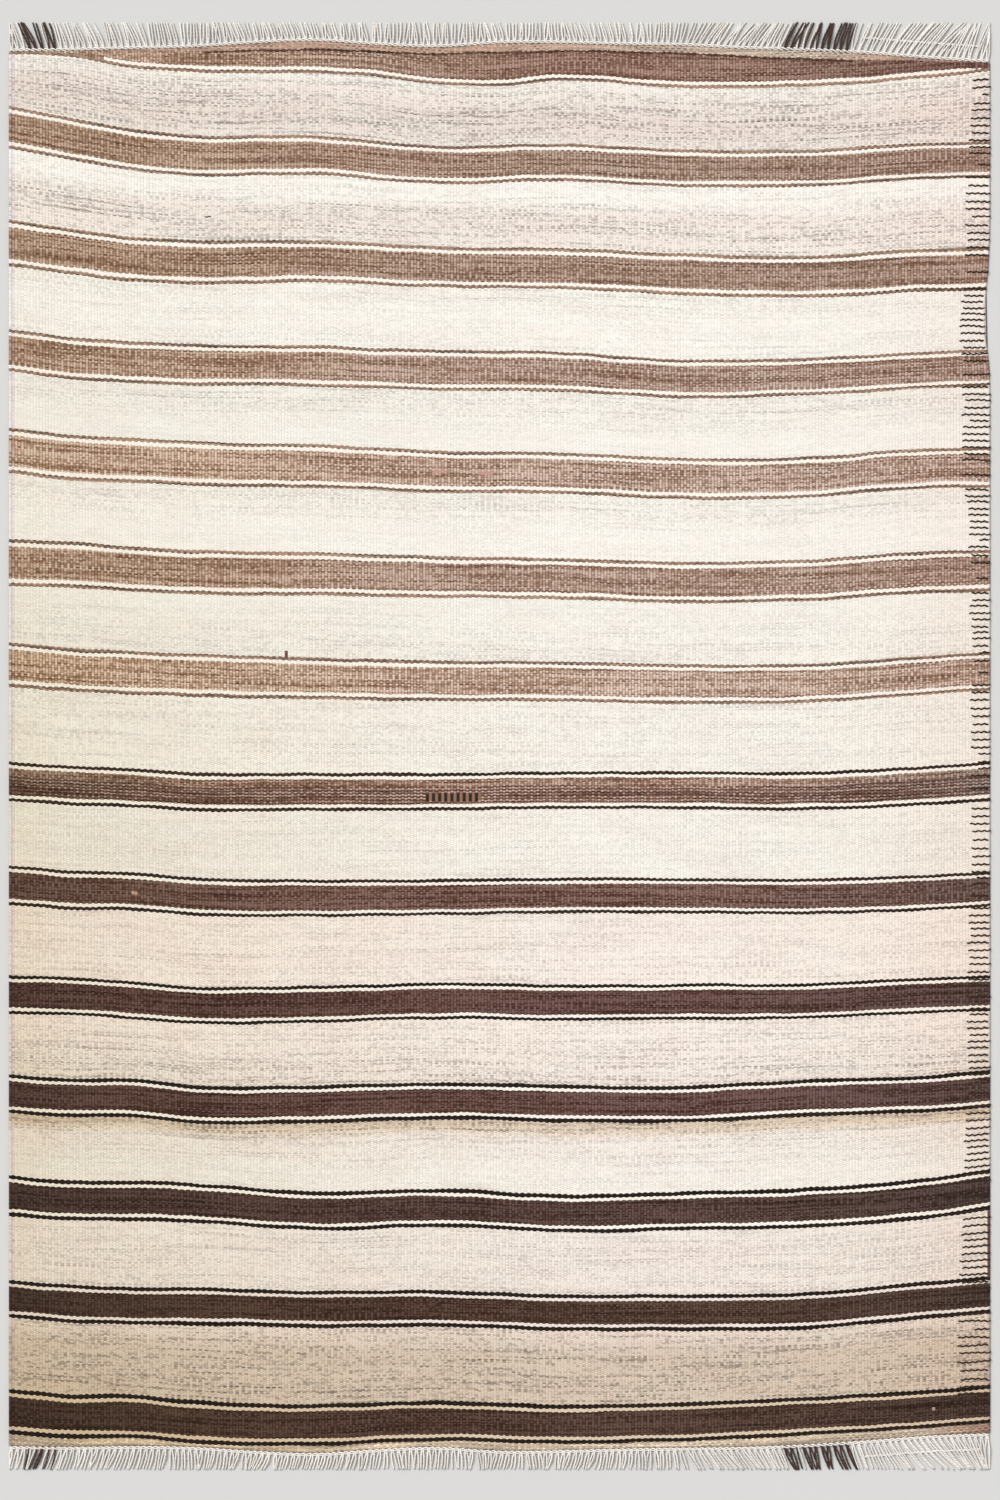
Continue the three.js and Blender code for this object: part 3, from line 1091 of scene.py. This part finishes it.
def lay_ends(graph, weave, colour):
    """The plain ends, with dotted rows of darker wool, and the head's dark line."""
    is_foot = graph.above(weave.pick, LAST_STRIPE + THIN_END + 1)
    is_heading = graph.below(weave.from_line, HEADING_STOP)
    is_upper_line = graph.times(
        graph.inside(weave.from_line, HEADING_STOP, UPPER_LINE_STOP),
        graph.inside(weave.warp, *UPPER_LINE_WARPS),
    )
    is_dotted_row = graph.below(graph.math("FLOORED_MODULO", weave.pick, DOTTED_RUN), 0.5)
    dotted = graph.times(is_dotted_row, graph.above(weave.speck, DOTTED_LIMIT))
    dotted = graph.times(dotted, graph.soft(weave.patch, *DOTTED_PATCH))
    dots = graph.times(dotted, DOTTED_SHADE)
    shade = graph.subtract(graph.times(weave.uneven, END_UNEVEN), dots)
    shade = graph.math("EXPONENT", shade)
    foot_end = graph.scale(wool_ramp(graph, weave.across_share, FOOT_END), shade)
    head_end = graph.scale(wool_ramp(graph, weave.across_share, HEAD_END), shade)
    colour = graph.mix(is_foot, colour, foot_end)
    colour = graph.mix(is_heading, colour, head_end)
    return graph.mix(is_upper_line, colour, graph.scale(linear(SABLE), weave.yarn_shade))


def marked(graph, weave, mark):
    on_warps = graph.inside(weave.column, mark.warps[0] - 0.5, mark.warps[1] - 0.5)
    on_picks = graph.inside(weave.pick, mark.picks[0] - 0.5, mark.picks[1] - 0.5)
    return graph.times(on_warps, on_picks)


def lay_marks(graph, weave, colour):
    """The small marks, and the worn place, where every other warp shows dark."""
    for mark in MARKS:
        colour = graph.mix(marked(graph, weave, mark), colour, linear(mark.wool))
    bare_warp = graph.mix(weave.parity, linear(PEAT), linear(WORN.wool))
    return graph.mix(marked(graph, weave, WORN), colour, bare_warp)


def lay_age(graph, weave, colour):
    """The yellowing of age, the blush and the greyer edges."""
    amount = graph.times(
        amount_ramp(graph, weave.across_share, AGE_ACROSS),
        amount_ramp(graph, weave.down_share, AGE_DOWN),
    )
    colour = graph.tint(graph.times(amount, MOST_AGED), colour, AGED)
    in_patch = graph.subtract(1.0, graph.soft(weave.patch, *BLUSH_PATCH))
    in_patch = graph.times(in_patch, BLUSH_PATCH_SHARE)
    on_side = graph.soft(weave.across_share, *BLUSH_RIGHT)
    blush = graph.math("MAXIMUM", in_patch, on_side)
    colour = graph.tint(blush, colour, BLUSHED)
    on_right = graph.above(weave.warp, WARPS - GREYED_WARPS)
    is_greyed = graph.math(
        "MAXIMUM",
        graph.below(weave.warp, GREYED_WARPS),
        graph.times(on_right, graph.inside(weave.pick, *GREYED_PICKS)),
    )
    return graph.tint(is_greyed, colour, GREYED)


def cloth_material():
    graph = Graph("wool_cloth")
    weave = Weave(graph)
    colour = ground_colour(graph, weave)
    colour = lay_stripes(graph, weave, colour)
    colour = lay_ends(graph, weave, colour)
    colour = lay_marks(graph, weave, colour)
    colour = lay_age(graph, weave, colour)
    # Painted shade in the seams round each float.
    seam_shading = graph.math("MAXIMUM", weave.along, graph.times(weave.across, 2.0))
    seam_shading = graph.soft(seam_shading, *SEAM)
    colour = graph.scale(colour, graph.line(seam_shading, 1.0, -SEAM_PAINTED_SHADE))
    float_form = graph.subtract(1.0, graph.times(weave.along, weave.along))
    fibre = graph.grain(weave.warp, weave.place, FIBRE_GRAIN, detail=3.0)
    height = graph.add(float_form, graph.times(fibre, 0.5))
    return graph.finish(colour, height, FLOAT_RELIEF)


def yarn_material(name, pale, dark):
    graph = Graph(name)
    tone, run, turn = graph.attribute("yarn")
    shade = graph.math("FRACT", tone)
    colour = graph.mix(graph.above(tone, 0.9), linear(pale), linear(dark))
    along_ply = graph.vector(graph.times(run, 0.9), graph.times(turn, 5.0), tone)
    fibre = graph.noise(along_ply, detail=3.0)
    groove = graph.math("ABSOLUTE", graph.math("SINE", graph.times(turn, 2 * math.pi)))
    # Painted shade in the groove between the plies, lighter on their crests.
    colour = graph.scale(colour, graph.line(groove, *PLY_GROOVE_PAINTED_SHADE))
    colour = graph.scale(colour, graph.line(shade, *TONE_SHADE))
    colour = graph.scale(colour, graph.line(fibre, *FIBRE_SHADE))
    return graph.finish(colour, graph.add(groove, fibre), YARN_RELIEF)


def floor_material():
    graph = Graph("pale_floor")
    position = graph.nodes.new("ShaderNodeTexCoord").outputs["Object"]
    grain = graph.noise(position, 3.0, 2.0)
    colour = graph.scale(linear(FLOOR), graph.line(grain, 0.985, 0.03))
    return graph.finish(colour, grain, 0.05, roughness=0.8, sheen=0.0)


def build_floor():
    near, far = -FLOOR_REACH, FLOOR_REACH
    corners = [(near, near, 0), (far, near, 0), (far, far, 0), (near, far, 0)]
    floor = make_object("floor", corners, [(0, 1, 2, 3)], smooth=False)
    floor.data.materials.append(floor_material())


def build_lights():
    """Even, soft light from one side over the head end, and a pale room all round."""
    sun = bpy.data.lights.new("soft_window", "SUN")
    sun.energy = SUN_STRENGTH
    sun.angle = math.radians(SUN_SOFTNESS)
    lamp = bpy.data.objects.new("soft_window", sun)
    lamp.rotation_euler = (*[math.radians(tilt) for tilt in SUN_TILT], 0)
    bpy.context.scene.collection.objects.link(lamp)
    world = bpy.data.worlds.new("pale_room")
    world.use_nodes = True
    background = world.node_tree.nodes["Background"]
    background.inputs["Color"].default_value = (1, 1, 1, 1)
    background.inputs["Strength"].default_value = ROOM_STRENGTH
    bpy.context.scene.world = world
    bpy.context.scene.view_settings.view_transform = "Standard"


def build_camera():
    camera = bpy.data.cameras.new("camera")
    camera.lens = CAMERA_LENS
    camera.sensor_width = SENSOR
    placed = bpy.data.objects.new("camera", camera)
    distance = CAMERA_LENS * PHOTO_HEIGHT * PIXEL / SENSOR
    placed.location = (PHOTO_MIDDLE[0] * MM, PHOTO_MIDDLE[1] * MM, distance * MM)
    bpy.context.scene.collection.objects.link(placed)
    bpy.context.scene.camera = placed


def dress(piece, material, slot, *nodes):
    piece.data.materials.append(material)
    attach(piece, "root")
    if nodes:
        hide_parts(*nodes)


build_camera()
build_lights()
build_floor()

cloth = build_cloth()
dress(cloth, cloth_material(), "wool_cloth", "cloth")

warp_yarn = yarn_material("warp_yarn", WARP_IVORY, WARP_BROWN)
fringe_head = build_fringe("fringe_head_yarns", head_edge, 1, np.random.default_rng(SEED))
dress(fringe_head, warp_yarn, "warp_fringe", "fringe_head")
fringe_foot = build_fringe("fringe_foot_yarns", foot_edge, -1, np.random.default_rng(SEED + 1))
dress(fringe_foot, warp_yarn, "warp_fringe", "fringe_foot")

carried = build_carried_wefts(np.random.default_rng(SEED + 2))
dress(carried, yarn_material("carried_yarn", FAWN, PEAT), "wool_cloth")
